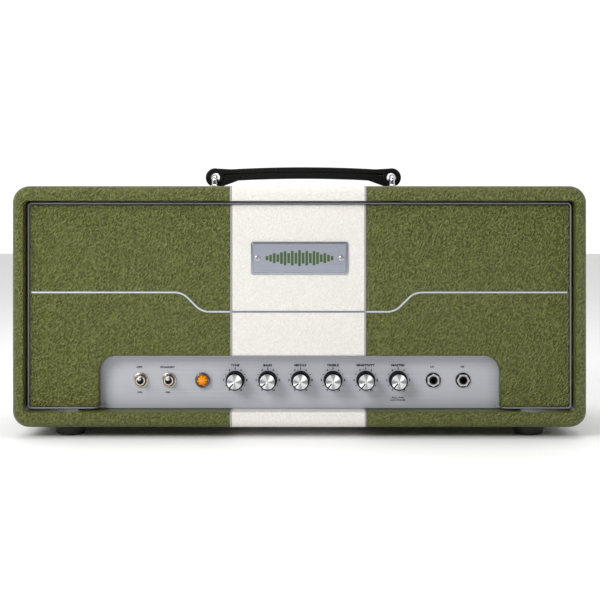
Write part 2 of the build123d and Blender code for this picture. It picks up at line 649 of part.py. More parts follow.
with BuildPart() as valve_electrodes:
    for x, y, kind in VALVES:
        zb = CH_Z1
        if kind == "power":
            box(x - 11, x + 11, y - 8, y + 8, zb + 36, zb + 84)
            post(x, y, zb + 34, 13.5, 1.0)
            post(x, y, zb + 85, 13.5, 1.0)
            post(x, y, zb + 18, 4.0, 16.5)
            post(x, y, zb + 83.9, 1.5, 2.0)
        elif kind == "rectifier":
            for s in (-1, 1):
                box(x + s * 5.5 - 4, x + s * 5.5 + 4, y - 6, y + 6, zb + 32, zb + 70)
            post(x, y, zb + 30.5, 12.0, 1.8)
            post(x, y, zb + 69.8, 12.0, 1.0)
            post(x, y, zb + 18, 4.0, 13)
        else:
            for s in (-1, 1):
                box(x + s * 3.6 - 2.6, x + s * 3.6 + 2.6, y - 3.4, y + 3.4, zb + 16, zb + 42)
            post(x, y, zb + 15, 8.5, 1.2)
            post(x, y, zb + 41.8, 8.5, 1.0)
            post(x, y, zb + 9, 2.5, 6.5)
keep(valve_electrodes.part, "valve_electrodes")

with BuildPart() as valve_sockets:
    for x, y, kind in VALVES:
        zb = CH_Z1
        if kind == "small":
            add(ring_z(x, y, [(0, zb - 9), (10.3, zb - 9), (10.3, zb + 0.1), (13.0, zb + 0.1), (13.0, zb + 2.5), (11.6, zb + 7.5), (0, zb + 7.5)]))
        else:
            add(ring_z(x, y, [(0, zb - 10), (13.8, zb - 10), (13.8, zb + 0.1), (20.0, zb + 0.1), (20.0, zb + 3.0), (17.0, zb + 3.0), (17.0, zb + 17.5), (0, zb + 17.5)]))
keep(valve_sockets.part, "valve_sockets")

# ---------------------------------------------------------------- transformers, choke, filter capacitors
IRON = [(-208.0, 18.0, 100.0, 78.0, 86.0), (196.0, 30.0, 84.0, 70.0, 72.0), (102.0, 40.0, 62.0, 52.0, 54.0)]

with BuildPart() as transformer_cores:
    for x, y, w, d, h in IRON:
        z = CH_Z1 + 0.1
        s = d * 0.22
        box(x - w / 2, x + w / 2, y - s, y + s, z, z + h)
    for x, y, w, d, h in IRON:
        z = CH_Z1 + 0.1
        box(x - w * 0.33, x + w * 0.33, y - d, y + d, z + h * 0.2, z + h * 0.8, mode=Mode.SUBTRACT)
keep(transformer_cores.part, "transformer_cores")

with BuildPart() as transformer_windings:
    for x, y, w, d, h in IRON:
        z = CH_Z1 + 0.1
        box(x - w * 0.32, x + w * 0.32, y - d * 0.42, y + d * 0.42, z + h * 0.21, z + h * 0.79)
    fillet(transformer_windings.edges().filter_by(Axis.Z), 3.0)
keep(transformer_windings.part, "transformer_windings")

with BuildPart() as transformer_covers:
    for x, y, w, d, h in IRON:
        z = CH_Z1 + 0.1
        for sy in (-1, 1):
            y0, y1 = sorted((y + sy * (d * 0.22 + 0.05), y + sy * d / 2))
            with BuildPart(mode=Mode.PRIVATE) as bell:
                box(x - w / 2, x + w / 2, y0, y1, z, z + h)
                end = bell.faces().filter_by(Axis.Y).sort_by(Axis.Y)[-1 if sy > 0 else 0]
                fillet(end.edges(), 6.0)
            with BuildPart(mode=Mode.PRIVATE) as hollow:
                a, b = (y0 + 2, y1 + 1) if sy < 0 else (y0 - 1, y1 - 2)
                box(x - w / 2 + 5, x + w / 2 - 5, a, b, z + 5, z + h - 5)
            add(bell.part - hollow.part)
keep(transformer_covers.part, "transformer_covers")

with BuildPart() as filter_capacitors:
    for x, y in CANS:
        add(ring_z(x, y, [(0, CH_Z1 + 0.1), (17.5, CH_Z1 + 0.1), (17.5, CH_Z1 + 76), (16.0, CH_Z1 + 78), (0, CH_Z1 + 78)]))
        add(ring_z(x, y, [(17.55, CH_Z1 + 0.1), (24.0, CH_Z1 + 0.1), (24.0, CH_Z1 + 1.6), (19.2, CH_Z1 + 1.6), (19.2, CH_Z1 + 14), (17.55, CH_Z1 + 14)]))
keep(filter_capacitors.part, "filter_capacitors")

# ---------------------------------------------------------------- circuit board
BOARD = (-60.0, 210.0, -30.0, 44.0, 44.0)
with BuildPart() as circuit_board:
    box(BOARD[0], BOARD[1], BOARD[2], BOARD[3], BOARD[4], BOARD[4] + 2.4)
    for x in (BOARD[0] + 8, BOARD[1] - 8):
        for y in (BOARD[2] + 8, BOARD[3] - 8):
            post(x, y, BOARD[4], 2.0, 10, mode=Mode.SUBTRACT)
keep(circuit_board.part, "circuit_board")

with BuildPart() as board_components:
    for i in range(12):
        x = BOARD[0] + 22 + i * 20.5
        for y, r, n in ((-14.0, 3.6 if i % 3 else 6.0, 18.0), (18.0, 2.4, 12.0)):
            with BuildSketch(Plane.XZ.offset(-(y + n / 2))):
                with Locations((x, BOARD[4] + 2.45 + r)):
                    Circle(r)
            extrude(amount=n)
keep(board_components.part, "board_components")

# ---------------------------------------------------------------- rear board, vent, screws
with BuildPart() as rear_board:
    with BuildSketch(py(RB_Y0 + RB_T)):
        with Locations((0, (RB_Z0 + RB_Z1) / 2)):
            Rectangle(2 * (RB_X - SKIN), RB_Z1 - RB_Z0 - 2 * SKIN)
        with Locations((0, (VENT_Z0 + VENT_Z1) / 2)):
            RectangleRounded(2 * (VENT_X + SKIN), VENT_Z1 - VENT_Z0 + 2 * SKIN, 8.8, mode=Mode.SUBTRACT)
    extrude(amount=RB_T)
    fillet(rear_board.faces().filter_by(Axis.Y).sort_by(Axis.Y)[-1].edges(), 1.2)
    SCREWS = [(x, z) for x in (-318.0, 318.0) for z in (120.0, 272.0)] + [(-110.0, 275.5), (110.0, 275.5)]
    for x, z in SCREWS:
        rod(x, RB_Y0 + 20, z, 1.9 + GAP, 30, mode=Mode.SUBTRACT)
keep(rear_board.part, "rear_board")

with BuildPart() as rear_covering:
    with BuildSketch(py(RB_Y0 + RB_T + SKIN)):
        with Locations((0, (RB_Z0 + RB_Z1) / 2)):
            Rectangle(2 * RB_X, RB_Z1 - RB_Z0)
        with Locations((0, (VENT_Z0 + VENT_Z1) / 2)):
            RectangleRounded(2 * VENT_X, VENT_Z1 - VENT_Z0, 8.0, mode=Mode.SUBTRACT)
    extrude(amount=RB_T + SKIN)
    fillet(rear_covering.faces().filter_by(Axis.Y).sort_by(Axis.Y)[-1].edges(), 2.0)
    with BuildPart(mode=Mode.PRIVATE) as core:
        with BuildSketch(py(RB_Y0 + RB_T)):
            with Locations((0, (RB_Z0 + RB_Z1) / 2)):
                Rectangle(2 * (RB_X - SKIN), RB_Z1 - RB_Z0 - 2 * SKIN)
            with Locations((0, (VENT_Z0 + VENT_Z1) / 2)):
                RectangleRounded(2 * (VENT_X + SKIN), VENT_Z1 - VENT_Z0 + 2 * SKIN, 8.8, mode=Mode.SUBTRACT)
        extrude(amount=RB_T + 1)
        fillet(core.faces().filter_by(Axis.Y).sort_by(Axis.Y)[-1].edges(), 1.2)
    add(core.part, mode=Mode.SUBTRACT)
    for x, z in SCREWS:
        rod(x, RB_Y0 + 20, z, 1.9 + GAP, 30, mode=Mode.SUBTRACT)
keep(rear_covering.part, "rear_covering")

with BuildPart() as rear_vent_grille:
    with BuildSketch(py(RB_Y0 - GAP)):
        with Locations((0, (VENT_Z0 + VENT_Z1) / 2)):
            RectangleRounded(2 * VENT_X + 24, VENT_Z1 - VENT_Z0 + 24, 6)
            with GridLocations(15.0, 8.0, 25, 6):
                SlotOverall(12.0, 4.0, mode=Mode.SUBTRACT)
    extrude(amount=1.2)
keep(rear_vent_grille.part, "rear_vent_grille")

with BuildPart() as cabinet_screws:
    for x, z in SCREWS:
        y = RB_Y0 + RB_T + SKIN + GAP
        add(ring_solid(x, z, [(0, y - 24), (1.9, y - 24), (1.9, y), (6.5, y), (6.0, y + 1.0), (4.4, y + 1.6), (3.4, y + 2.4), (0, y + 2.8)]))
        box(x - 2.2, x + 2.2, y + 1.4, y + 4, z - 0.4, z + 0.4, mode=Mode.SUBTRACT)
        box(x - 0.4, x + 0.4, y + 1.4, y + 4, z - 2.2, z + 2.2, mode=Mode.SUBTRACT)
    for x, y in FEET:
        add(ring_z(x, y, [(0, 5.6), (4.2, 5.6), (4.2, 7.8), (2.0, 7.8), (2.0, 25), (0, 25)]))
keep(cabinet_screws.part, "cabinet_screws")

# ---------------------------------------------------------------- feet
with BuildPart() as rubber_feet:
    r = FOOT_D / 2
    for x, y in FEET:
        add(
            ring_z(
                x, y,
                [(5.2, 0), (13.2, 0), (15.3, 0.7), (17.0, 2.2), (18.2, 4.4), (18.8, 7.2), (r, FOOT_H - GAP),
                 (2.2, FOOT_H - GAP), (2.2, 7.9), (5.2, 7.9)],
            )
        )
keep(rubber_feet.part, "rubber_feet")

# ---------------------------------------------------------------- chassis and handle bolts
with BuildPart() as machine_bolts:
    for x, y in BOLTS:
        add(ring_z(x, y, [(0, Z0 - 5.0), (4.6, Z0 - 5.0), (5.4, Z0 - 4.2), (5.4, Z0 - 1.6), (9.0, Z0 - 1.6), (9.0, Z0 - GAP), (3.0, Z0 - GAP), (3.0, CH_Z0 + 9), (0, CH_Z0 + 9)]))
        add(ring_z(x, y, [(3.05, CH_Z0 + CH_T + 0.05), (5.6, CH_Z0 + CH_T + 0.05), (5.6, CH_Z0 + CH_T + 5), (3.05, CH_Z0 + CH_T + 5)]))
    for x, y in LEGS:
        zc = OZ1 + SKIN
        add(ring_z(x, y, [(ROD_R + GAP, zc - 1.6), (9.0, zc - 1.6), (9.0, zc - GAP), (ROD_R + GAP, zc - GAP)]))
        add(ring_z(x, y, [(ROD_R + GAP, zc - 7.0), (5.8, zc - 7.0), (5.8, zc - 1.65), (ROD_R + GAP, zc - 1.65)]))
keep(machine_bolts.part, "machine_bolts")

# ---------------------------------------------------------------- handle
with BuildPart() as handle_brackets:
    for sx in (-1, 1):
        x = HANDLE_X + sx * LOOP_X
        with BuildPart(mode=Mode.PRIVATE) as staple:
            with BuildLine() as hoop:
                FilletPolyline((x, -ROD_Y, 274.0), (x, -ROD_Y, ROD_Z), (x, ROD_Y, ROD_Z), (x, ROD_Y, 274.0), radius=4.6)
            with BuildSketch(Plane(origin=hoop.line @ 0, z_dir=hoop.line % 0)):
                Circle(ROD_R)
            sweep(path=hoop.line)
        add(staple.part)
        for sy in (-1, 1):
            add(ring_z(x, sy * ROD_Y, [(ROD_R + 0.02, Z1 + 0.05), (5.6, Z1 + 0.05), (5.2, Z1 + 1.2), (3.9, Z1 + 3.2), (ROD_R + 0.02, Z1 + 3.4)]))
keep(handle_brackets.part, "handle_brackets")

GRIP_T, UNDER_T = 6.6, 8.0


def grip_top(x):
    """Height of the grip's upper face."""
    u = min(abs(x) / 92.0, 1.0)
    return Z1 + 25.6 - 2.6 * u * u


with BuildPart() as handle_grip:
    with BuildSketch(py(STRAP_W / 2)):
        with Locations((-LOOP_X, LOOP_Z), (LOOP_X, LOOP_Z)):
            Circle(LOOP_RO)
        with BuildLine():
            xs = [-92 + 184 * i / 8 for i in range(9)]
            up = [(x, grip_top(x)) for x in xs]
            dn = [(x, grip_top(x) - GRIP_T) for x in xs]
            Spline(*up)
            Line(up[-1], (LOOP_X, LOOP_Z + LOOP_RO - 0.2))
            Line((LOOP_X, LOOP_Z + LOOP_RO - 0.2), (LOOP_X, LOOP_Z + 2))
            Line((LOOP_X, LOOP_Z + 2), dn[-1])
            Spline(*reversed(dn))
            Line(dn[0], (-LOOP_X, LOOP_Z + 2))
            Line((-LOOP_X, LOOP_Z + 2), (-LOOP_X, LOOP_Z + LOOP_RO - 0.2))
            Line((-LOOP_X, LOOP_Z + LOOP_RO - 0.2), up[0])
        make_face()
        with Locations((-LOOP_X, LOOP_Z), (LOOP_X, LOOP_Z)):
            Circle(LOOP_RI, mode=Mode.SUBTRACT)
    extrude(amount=STRAP_W)
keep(handle_grip.part.moved(Location((HANDLE_X, 0, 0))), "handle_grip")

with BuildPart() as handle_under_strap:
    with BuildSketch(py(STRAP_W / 2)):
        with BuildLine():
            xs = [-84 + 168 * i / 8 for i in range(9)]
            up = [(x, grip_top(x) - GRIP_T - 0.1) for x in xs]
            dn = [(x, grip_top(x) - GRIP_T - UNDER_T) for x in xs]
            Spline(*up)
            tail = [
                (LOOP_X + (LOOP_RO + 0.12) * math.cos(math.radians(t)), LOOP_Z + (LOOP_RO + 0.12) * math.sin(math.radians(t)))
                for t in (168, 180, 192, 204, 216, 228, 240, 246)
            ]
            right = [up[-1]] + tail + [(LOOP_X - 6.4, Z1 + 0.75), dn[-1]]
            Polyline(*right)
            Spline(*reversed(dn))
            Polyline(*[(-x, z) for x, z in reversed(right)])
        make_face()
    extrude(amount=STRAP_W)
keep(handle_under_strap.part.moved(Location((HANDLE_X, 0, 0))), "handle_under_strap")

print(len(made), "nodes; jack bore length", round(JACK_LEN, 3))
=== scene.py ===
import bpy
import bmesh
import json
import math
from mathutils import Matrix, Vector


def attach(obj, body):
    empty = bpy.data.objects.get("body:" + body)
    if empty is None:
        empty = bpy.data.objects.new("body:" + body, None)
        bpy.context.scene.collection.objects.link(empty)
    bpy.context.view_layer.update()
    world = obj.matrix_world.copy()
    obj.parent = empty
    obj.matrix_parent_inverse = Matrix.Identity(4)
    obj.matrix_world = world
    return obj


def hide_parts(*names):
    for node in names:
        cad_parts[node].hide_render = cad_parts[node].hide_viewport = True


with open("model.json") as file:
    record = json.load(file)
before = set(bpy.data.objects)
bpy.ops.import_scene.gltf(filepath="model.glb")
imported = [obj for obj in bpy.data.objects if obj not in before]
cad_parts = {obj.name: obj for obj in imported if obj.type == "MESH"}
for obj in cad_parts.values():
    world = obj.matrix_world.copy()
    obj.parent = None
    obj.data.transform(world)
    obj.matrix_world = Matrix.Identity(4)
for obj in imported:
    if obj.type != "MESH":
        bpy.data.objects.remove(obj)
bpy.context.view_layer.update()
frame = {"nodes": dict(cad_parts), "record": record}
N = frame["nodes"]
MM = 0.001

# ---------------------------------------------------------------- places, in mm, as in the CAD
W, H, D = 690.0, 290.0, 240.0
Z0, Z1 = 13.0, 303.0
YF, YR = -120.0, 120.0
BAND_C, BAND_X = -1.5, 80.8
OZ0, OZ1 = 32.0, 285.0
ARCH_Z = 98.1
FB_Y = YF + 12.0
PANEL_Y = -90.0
CTRL_Z = 66.8
KNOBS = {
    "tone": (-78.5, -141.0),
    "bass": (-38.8, -129.0),
    "middle": (1.0, -129.0),
    "treble": (40.7, -138.0),
    "sensitivity": (80.5, -145.0),
    "master": (120.2, -140.0),
}
LABELS = {"tone": 10.5, "bass": 10.7, "middle": 14.5, "treble": 14.8, "sensitivity": 23.0, "master": 16.6}
INPUTS = (162.9, 199.2)
BADGE_Z = 216.2


# ---------------------------------------------------------------- materials
def lin(*rgb):
    """0-255 display values to linear."""
    out = []
    for c in rgb:
        c = c / 255.0
        out.append(c / 12.92 if c <= 0.04045 else ((c + 0.055) / 1.055) ** 2.4)
    return (*out, 1.0)


def shader(name, colour, rough=0.5, metal=0.0, **more):
    m = bpy.data.materials.new(name)
    m.use_nodes = True
    b = m.node_tree.nodes["Principled BSDF"]
    b.inputs["Base Color"].default_value = colour
    b.inputs["Roughness"].default_value = rough
    b.inputs["Metallic"].default_value = metal
    for k, v in more.items():
        b.inputs[k.replace("_", " ")].default_value = v
    m.diffuse_color = colour
    return m


def add(m, kind, **sockets):
    n = m.node_tree.nodes.new(kind)
    for k, v in sockets.items():
        if k in n.inputs:
            n.inputs[k].default_value = v
        else:
            setattr(n, k, v)
    return n


def wire(m, a, b):
    m.node_tree.links.new(a, b)


def mapped(m, scale, turn=(0, 0, 0), kind="POINT"):
    co = add(m, "ShaderNodeTexCoord")
    mp = add(m, "ShaderNodeMapping", vector_type=kind)
    mp.inputs["Scale"].default_value = scale
    mp.inputs["Rotation"].default_value = turn
    wire(m, co.outputs["Object"], mp.inputs["Vector"])
    return mp.outputs["Vector"]


def vinyl(name, colour, crease_shade, rough, depth=0.35):
    """Levant grain: long ridges that run up to the right, with creases between them; the creases also get a darker
    colour, painted shade.
    """
    m = shader(name, colour, rough)
    b = m.node_tree.nodes["Principled BSDF"]
    b.inputs["Specular IOR Level"].default_value = 0.36
    v = mapped(m, (0.0034, 0.0013, 0.0013), (0.25, -0.85, 0.3), "TEXTURE")
    h = add(m, "ShaderNodeTexNoise", Scale=1.0, Detail=0.3, Distortion=0.35)
    wire(m, v, h.inputs["Vector"])
    bump = add(m, "ShaderNodeBump", Strength=depth, Distance=0.0034)
    wire(m, h.outputs[0], bump.inputs["Height"])
    wire(m, bump.outputs["Normal"], b.inputs["Normal"])
    # painted shade: the low parts of the grain take the darker crease colour, on top of the bump
    ramp = add(m, "ShaderNodeMapRange")
    ramp.inputs["From Min"].default_value = 0.32
    ramp.inputs["From Max"].default_value = 0.68
    wire(m, h.outputs[0], ramp.inputs["Value"])
    crease_shade_mix = add(m, "ShaderNodeMix", data_type="RGBA")
    crease_shade_mix.inputs["A"].default_value = crease_shade
    crease_shade_mix.inputs["B"].default_value = colour
    wire(m, ramp.outputs["Result"], crease_shade_mix.inputs["Factor"])
    wire(m, crease_shade_mix.outputs["Result"], b.inputs["Base Color"])
    return m


def brushed(name, colour, colour2, rough, scale, metal=1.0):
    m = shader(name, colour, rough, metal)
    b = m.node_tree.nodes["Principled BSDF"]
    v = mapped(m, scale)
    n = add(m, "ShaderNodeTexNoise", Scale=1.0, Detail=4.0)
    wire(m, v, n.inputs["Vector"])
    mix = add(m, "ShaderNodeMix", data_type="RGBA")
    mix.inputs["A"].default_value = colour
    mix.inputs["B"].default_value = colour2
    wire(m, n.outputs["Fac"], mix.inputs["Factor"])
    wire(m, mix.outputs["Result"], b.inputs["Base Color"])
    bump = add(m, "ShaderNodeBump", Strength=0.12, Distance=0.0001)
    wire(m, n.outputs["Fac"], bump.inputs["Height"])
    wire(m, bump.outputs["Normal"], b.inputs["Normal"])
    return m


def spun(name, colour, rough):
    """A turned face: an anisotropic shine, plus highlight fans painted into the colour from the middle out."""
    m = shader(name, colour, rough, 1.0, Anisotropic=1.0)
    b = m.node_tree.nodes["Principled BSDF"]
    t = add(m, "ShaderNodeTangent", direction_type="RADIAL", axis="Y")
    wire(m, t.outputs["Tangent"], b.inputs["Tangent"])
    # painted highlight: four bright quadrants between darker wedges are painted into the base colour, fixed to the cap
    co = add(m, "ShaderNodeTexCoord")
    mp = add(m, "ShaderNodeMapping")
    mp.inputs["Location"].default_value = (-0.5, 0.5, 0.0)
    mp.inputs["Rotation"].default_value = (math.radians(90), 0, 0)
    wire(m, co.outputs["Generated"], mp.inputs["Vector"])
    ang = add(m, "ShaderNodeTexGradient", gradient_type="RADIAL")
    wire(m, mp.outputs["Vector"], ang.inputs["Vector"])
    turn = add(m, "ShaderNodeMath", operation="MULTIPLY")
    turn.inputs[1].default_value = 8 * math.pi
    wire(m, ang.outputs["Fac"], turn.inputs[0])
    wave = add(m, "ShaderNodeMath", operation="COSINE")
    wire(m, turn.outputs[0], wave.inputs[0])
    span = add(m, "ShaderNodeMapRange")
    span.inputs["From Min"].default_value = 1.0
    span.inputs["From Max"].default_value = -0.3
    wire(m, wave.outputs[0], span.inputs["Value"])
    # painted shade: the darker wedge colour between the painted highlights
    mix = add(m, "ShaderNodeMix", data_type="RGBA")
    mix.inputs["A"].default_value = lin(172, 174, 180)
    mix.inputs["B"].default_value = colour
    wire(m, span.outputs["Result"], mix.inputs["Factor"])
    wire(m, mix.outputs["Result"], b.inputs["Base Color"])
    return m


def grained(name, colour, rough, scale, strength, distance=0.0003, metal=0.0):
    m = shader(name, colour, rough, metal)
    b = m.node_tree.nodes["Principled BSDF"]
    n = add(m, "ShaderNodeTexNoise", Scale=1.0, Detail=4.0)
    wire(m, mapped(m, (scale, scale, scale)), n.inputs["Vector"])
    bump = add(m, "ShaderNodeBump", Strength=strength, Distance=distance)
    wire(m, n.outputs["Fac"], bump.inputs["Height"])
    wire(m, bump.outputs["Normal"], b.inputs["Normal"])
    return m


def ply(name, a, b2):
    m = shader(name, a, 0.6)
    b = m.node_tree.nodes["Principled BSDF"]
    n = add(m, "ShaderNodeTexNoise", Scale=1.0, Detail=5.0)
    wire(m, mapped(m, (6, 60, 160)), n.inputs["Vector"])
    mix = add(m, "ShaderNodeMix", data_type="RGBA")
    mix.inputs["A"].default_value = a
    mix.inputs["B"].default_value = b2
    wire(m, n.outputs["Fac"], mix.inputs["Factor"])
    wire(m, mix.outputs["Result"], b.inputs["Base Color"])
    return m


M = {
    "green_vinyl": vinyl("green_vinyl", lin(109, 115, 55), lin(61, 66, 16), 0.33, 1.0),
    "cream_vinyl": vinyl("cream_vinyl", lin(226, 223, 219), lin(215, 211, 205), 0.45, 0.35),
    "piping": shader("piping", lin(160, 154, 160), 0.4),
    "bead": shader("bead", lin(122, 123, 134), 0.3),
    "inlay_silver": shader("inlay_silver", lin(205, 210, 224), 0.3, 0.6),
    "inlay_painted_shade": shader("inlay_painted_shade", lin(128, 134, 152), 0.35, 0.6),
    "badge_metal": brushed("badge_metal", lin(196, 200, 212), lin(170, 175, 190), 0.34, (9, 300, 900)),
    "badge_edge": shader("badge_edge", lin(172, 176, 186), 0.25, 1.0),
    "ornament": shader("ornament", lin(56, 84, 30), 0.5),
    "screw_nickel": shader("screw_nickel", lin(205, 205, 207), 0.2, 1.0),
    "chrome": shader("chrome", lin(222, 223, 226), 0.09, 1.0),
    # painted reflection: the bezel's chrome colour is darkened to stand for the dark surroundings it mirrors
    "bezel": shader("bezel", lin(104, 104, 108), 0.14, 1.0),
    "chassis_metal": brushed("chassis_metal", lin(170, 172, 176), lin(150, 152, 156), 0.45, (8, 200, 400)),
    "panel_metal": brushed("panel_metal", lin(198, 200, 206), lin(160, 163, 171), 0.42, (5, 300, 1500), 0.25),
    "rear_plate_metal": grained("rear_plate_metal", lin(38, 38, 40), 0.42, 900, 0.1),
    "knob_black": shader("knob_black", lin(5, 5, 6), 0.45, Specular_IOR_Level=0.06),
    "print_black": shader("print_black", lin(8, 8, 9), 0.6, Specular_IOR_Level=0.1),
    "print_white": shader("print_white", lin(225, 225, 225), 0.55),
    "knob_cap": spun("knob_cap", lin(250, 251, 253), 0.4),
    "nickel": shader("nickel", lin(188, 178, 162), 0.14, 1.0),
    # painted reflection: the jack nuts' nickel is darkened below the chrome to stand for the dark surroundings they
    # mirror
    "nut_nickel": shader("nut_nickel", lin(172, 171, 172), 0.2, 1.0),
    "zinc": shader("zinc", lin(176, 176, 172), 0.34, 1.0),
    "black_plastic": shader("black_plastic", lin(10, 10, 11), 0.42, Specular_IOR_Level=0.2),
    "core_steel": grained("core_steel", lin(42, 42, 45), 0.5, 1500, 0.3, metal=0.4),
    "winding_tape": grained("winding_tape", lin(176, 140, 60), 0.55, 300, 0.3),
    "cover_black": shader("cover_black", lin(20, 20, 22), 0.28),
    "can_metal": shader("can_metal", lin(190, 191, 194), 0.3, 1.0),
    "board_material": shader("board_material", lin(96, 66, 40), 0.6),
    "component_coat": shader("component_coat", lin(176, 96, 34), 0.35),
    "grille_black": shader("grille_black", lin(24, 24, 25), 0.5, 0.3),
    "rubber": grained("rubber", lin(26, 26, 27), 0.6, 700, 0.15),
    "strap_black": grained("strap_black", lin(5, 5, 5), 0.42, 900, 0.35),
    "electrode_grey": shader("electrode_grey", lin(70, 70, 72), 0.5, 0.5),
    "ceramic": shader("ceramic", lin(212, 206, 192), 0.3),
    "plywood": ply("plywood", lin(206, 176, 130), lin(172, 138, 94)),
    "valve_glass": shader("valve_glass", (0.95, 0.97, 0.98, 1), 0.03, Transmission_Weight=1.0, IOR=1.45),
    "amber_lens": shader(
        "amber_lens", lin(246, 158, 20), 0.05, IOR=1.6,
        Emission_Color=lin(255, 160, 30), Emission_Strength=0.25,
    ),
    "amber_painted_shade": shader(
        "amber_painted_shade", lin(206, 100, 2), 0.05, IOR=1.6,
        Emission_Color=lin(236, 120, 4), Emission_Strength=0.16,
    ),
    "floor": shader("floor", (0.93, 0.93, 0.93, 1), 0.7),
}
M["strap_black"].node_tree.nodes["Principled BSDF"].inputs["Specular IOR Level"].default_value = 0.22
SLOTS = {p["node"]: p["material_slot"] for p in frame["record"]["subparts"]}


# ---------------------------------------------------------------- making pieces
def smooth(o, angle=35.0):
    o.data.shade_smooth()
    o.data.set_sharp_from_angle(angle=math.radians(angle))


def piece(name, bm, mats, body="cabinet", angle=35.0):
    me = bpy.data.meshes.new(name)
    bmesh.ops.recalc_face_normals(bm, faces=bm.faces)
    bm.to_mesh(me)
    bm.free()
    o = bpy.data.objects.new(name, me)
    bpy.context.scene.collection.objects.link(o)
    for m in mats if isinstance(mats, (list, tuple)) else [mats]:
        me.materials.append(M[m])
    smooth(o, angle)
    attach(o, body)
    return o


def lathe(bm, x, z, profile, seg=96, flutes=0, deep=0.0, span=None, mat=0, facets=None):
    """Turns (radius, y) points about the line through x, z that runs front to back. flutes cut deep mm into the points of span."""
    rings = []
    for i, (r, y) in enumerate(profile):
        if r <= 1e-6:
            rings.append([bm.verts.new((x * MM, y * MM, z * MM))])
            continue
        ring = []
        for k in range(seg):
            a = 2 * math.pi * k / seg
            rr = r
            if flutes and span[0] <= i <= span[1]:
                c = 0.5 - 0.5 * math.cos(a * flutes)
                rr = r - deep * c * c
            ring.append(bm.verts.new(((x + rr * math.cos(a)) * MM, y * MM, (z + rr * math.sin(a)) * MM)))
        rings.append(ring)
    for p, q in zip(rings, rings[1:]):
        for k in range(seg):
            a, b = k, (k + 1) % seg
            if len(p) == 1 and len(q) == 1:
                break
            if len(p) == 1:
                f = bm.faces.new((p[0], q[a], q[b]))
            elif len(q) == 1:
                f = bm.faces.new((p[a], q[0], p[b]))
            else:
                f = bm.faces.new((p[a], q[a], q[b], p[b]))
            f.material_index = mat
    return rings


def slab(bm, x0, x1, y0, y1, z0, z1, mat=0):
    vs = [bm.verts.new((x * MM, y * MM, z * MM)) for x in (x0, x1) for y in (y0, y1) for z in (z0, z1)]
    for q in ((0, 1, 3, 2), (4, 6, 7, 5), (0, 4, 5, 1), (2, 3, 7, 6), (0, 2, 6, 4), (1, 5, 7, 3)):
        bm.faces.new([vs[i] for i in q]).material_index = mat


def tube(name, runs, radius, mat, body="cabinet", cyclic=False, res=4):
    """Round bars along polylines of mm points."""
    cu = bpy.data.curves.new(name, "CURVE")
    cu.dimensions = "3D"
    cu.bevel_depth = radius * MM
    cu.bevel_resolution = res
    cu.use_fill_caps = True
    for pts in runs:
        sp = cu.splines.new("POLY")
        sp.points.add(len(pts) - 1)
        for p, co in zip(sp.points, pts):
            p.co = (co[0] * MM, co[1] * MM, co[2] * MM, 1)
        sp.use_cyclic_u = cyclic
    tmp = bpy.data.objects.new(name + "_c", cu)
    bpy.context.scene.collection.objects.link(tmp)
    bpy.context.view_layer.update()
    me = bpy.data.meshes.new_from_object(tmp.evaluated_get(bpy.context.evaluated_depsgraph_get()))
    bpy.data.objects.remove(tmp)
    o = bpy.data.objects.new(name, me)
    bpy.context.scene.collection.objects.link(o)
    me.materials.clear()
    me.materials.append(M[mat])
    smooth(o, 50)
    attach(o, body)
    return o


def arc(cy, cz, r, a0, a1, n=8):
    """Points (y, z) on an arc, angles in degrees from +y towards +z."""
    return [
        (cy + r * math.cos(math.radians(a0 + (a1 - a0) * i / n)), cz + r * math.sin(math.radians(a0 + (a1 - a0) * i / n)))
        for i in range(n + 1)
    ]


def lettering(name, words, mat, body="cabinet"):
    """words: (text, x, y, z, height, width or None). Raised 0.04 mm, facing the front, or the rear where y is positive."""
    bm = bmesh.new()
    for text, x, y, z, high, wide in words:
        cu = bpy.data.curves.new("t", "FONT")
        cu.body = text
        cu.align_x = "CENTER"
        cu.align_y = "CENTER"
        cu.extrude = 0.02
        cu.offset = 0.05
        cu.resolution_u = 2
        tmp = bpy.data.objects.new("t", cu)
        bpy.context.scene.collection.objects.link(tmp)
        bpy.context.view_layer.update()
        me = bpy.data.meshes.new_from_object(tmp.evaluated_get(bpy.context.evaluated_depsgraph_get()))
        bpy.data.objects.remove(tmp)
        xs = [v.co.x for v in me.vertices]
        ys = [v.co.y for v in me.vertices]
        sy = high / (max(ys) - min(ys))
        sx = wide / (max(xs) - min(xs)) if wide else sy
        cx, cy = (max(xs) + min(xs)) / 2, (max(ys) + min(ys)) / 2
        front = y < 0
        part = bmesh.new()
        part.from_mesh(me)
        for v in part.verts:
            u, w, t = (v.co.x - cx) * sx, (v.co.y - cy) * sy, v.co.z
            v.co = Vector(((x + u) if front else (x - u), y - t if front else y + t, z + w)) * MM
        tmp_me = bpy.data.meshes.new("t")
        part.to_mesh(tmp_me)
        part.free()
        bm.from_mesh(tmp_me)
        bpy.data.meshes.remove(tmp_me)
        bpy.data.meshes.remove(me)
    return piece(name, bm, mat, body, angle=30)


# ---------------------------------------------------------------- CAD pieces shown as they are
def dress(node, bevel=0.0, angle=40.0, segs=3, mat=None):
    o = N[node]
    o.data.materials.clear()
    o.data.materials.append(M[mat or SLOTS[node]])
    w = o.modifiers.new("weld", "WELD")
    w.merge_threshold = 1e-6
    flat = o.modifiers.new("flat", "WEIGHTED_NORMAL")
    flat.weight = 60
    flat.keep_sharp = True
    if bevel:
        b = o.modifiers.new("edge", "BEVEL")
        b.width = bevel * MM
        b.segments = segs
        b.limit_method = "ANGLE"
        b.angle_limit = math.radians(angle)
        b.harden_normals = False
    return o


